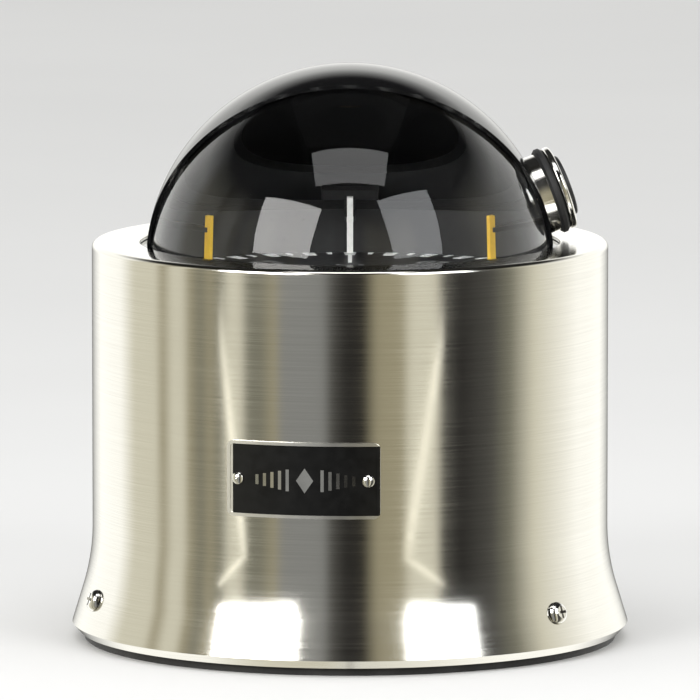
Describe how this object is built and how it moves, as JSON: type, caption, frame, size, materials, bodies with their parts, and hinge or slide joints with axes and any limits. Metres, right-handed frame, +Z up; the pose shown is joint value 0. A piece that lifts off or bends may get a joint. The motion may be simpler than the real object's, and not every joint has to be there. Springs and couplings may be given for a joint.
{
  "type": "steering pedestal compass",
  "caption": "Fluid-filled globe compass in a flared stainless binnacle with a turning sun shield, for a boat's steering pedestal.",
  "frame": {"origin": "centre of the base gasket's underside", "axes": "+Z up, -Y towards the helmsman, +Y towards the bow, +X to starboard"},
  "size_m": [0.2084, 0.2082, 0.2155],
  "materials": {
    "steel": "satin",
    "polished_steel": "polished",
    "black_rubber": "matte",
    "clear_dome": "gloss",
    "black_gloss": "gloss",
    "black_plastic": "matte",
    "white_plastic": "matte",
    "yellow_plastic": "matte",
    "glide_plastic": "matte",
    "brass": "satin",
    "aluminium": "satin",
    "dark_plate": "satin",
    "led_lens": "gloss",
    "magnet": "matte",
    "lead": "matte",
    "card_black": "matte"
  },
  "bodies": {
    "binnacle": {"housing": "steel", "nameplate": "dark_plate", "nameplate_pins": "polished_steel", "housing_screws": "polished_steel", "base_gasket": "black_rubber", "base_ring": "black_plastic", "support_posts": "aluminium", "post_screws": "polished_steel", "support_ring": "aluminium", "bowl": "black_plastic", "dome_gasket": "black_rubber", "dome": "clear_dome", "bezel_ring": "black_plastic", "bezel_screws": "polished_steel", "glide_ring": "glide_plastic", "gimbal_carrier": "black_plastic", "gimbal_pivots": "brass", "diaphragm": "black_rubber", "diaphragm_cover": "black_plastic", "diaphragm_screws": "polished_steel", "filler_plug": "brass", "filler_seal": "black_rubber", "lamp_holder": "black_plastic", "lamp_led": "led_lens", "lamp_seal": "black_rubber", "compensator_bridge": "aluminium", "bridge_screws": "brass", "compensator_block": "brass", "block_screws": "brass"},
    "shield": {"sun_shield": "black_gloss", "knob_base": "polished_steel", "knob_pad": "black_rubber"},
    "knob": {"clamp_knob": "polished_steel", "knob_cap": "black_plastic", "clamp_stud": "brass"},
    "gimbal": {"gimbal_ring": "black_plastic", "gimbal_bushes": "brass", "frame_pivots": "brass"},
    "card_carrier": {"card_frame": "black_plastic", "frame_bushes": "brass", "ballast": "lead", "pivot_post": "brass", "pivot_tip": "polished_steel", "lubber_line_forward": "white_plastic", "lubber_lines_side": "yellow_plastic"},
    "card": {"compass_card": "card_black", "card_hub": "black_plastic", "jewel_cup": "glide_plastic", "magnet_carrier": "brass", "card_magnets": "magnet"},
    "fore_aft_compensator": {"fore_aft_shaft": "brass", "fore_aft_magnets": "magnet"},
    "athwart_compensator": {"athwart_shaft": "brass", "athwart_magnets": "magnet"}
  },
  "joints": [
    {"name": "shield_turn", "type": "hinge", "parent": "binnacle", "child": "shield", "pos_m": [0, 0, 0.1459], "axis": [0, 0, 1], "continuous": true},
    {"name": "knob_turn", "type": "hinge", "parent": "shield", "child": "knob", "pos_m": [0.07686, 0.0108, 0.16725], "axis": [0.9305, 0.1308, 0.342], "range_deg": [0, 270]},
    {"name": "roll_gimbal", "type": "hinge", "parent": "binnacle", "child": "gimbal", "pos_m": [0, 0, 0.139], "axis": [0, 1, 0], "range_deg": [-30, 30]},
    {"name": "pitch_gimbal", "type": "hinge", "parent": "gimbal", "child": "card_carrier", "pos_m": [0, 0, 0.139], "axis": [1, 0, 0], "range_deg": [-30, 30]},
    {"name": "card_turn", "type": "hinge", "parent": "card_carrier", "child": "card", "pos_m": [0, 0, 0.1353], "axis": [0, 0, 1], "continuous": true},
    {"name": "fore_aft_adjust", "type": "hinge", "parent": "binnacle", "child": "fore_aft_compensator", "pos_m": [0, 0, 0.0215], "axis": [0, 1, 0], "continuous": true},
    {"name": "athwart_adjust", "type": "hinge", "parent": "binnacle", "child": "athwart_compensator", "pos_m": [0, 0, 0.0405], "axis": [1, 0, 0], "continuous": true}
  ]
}
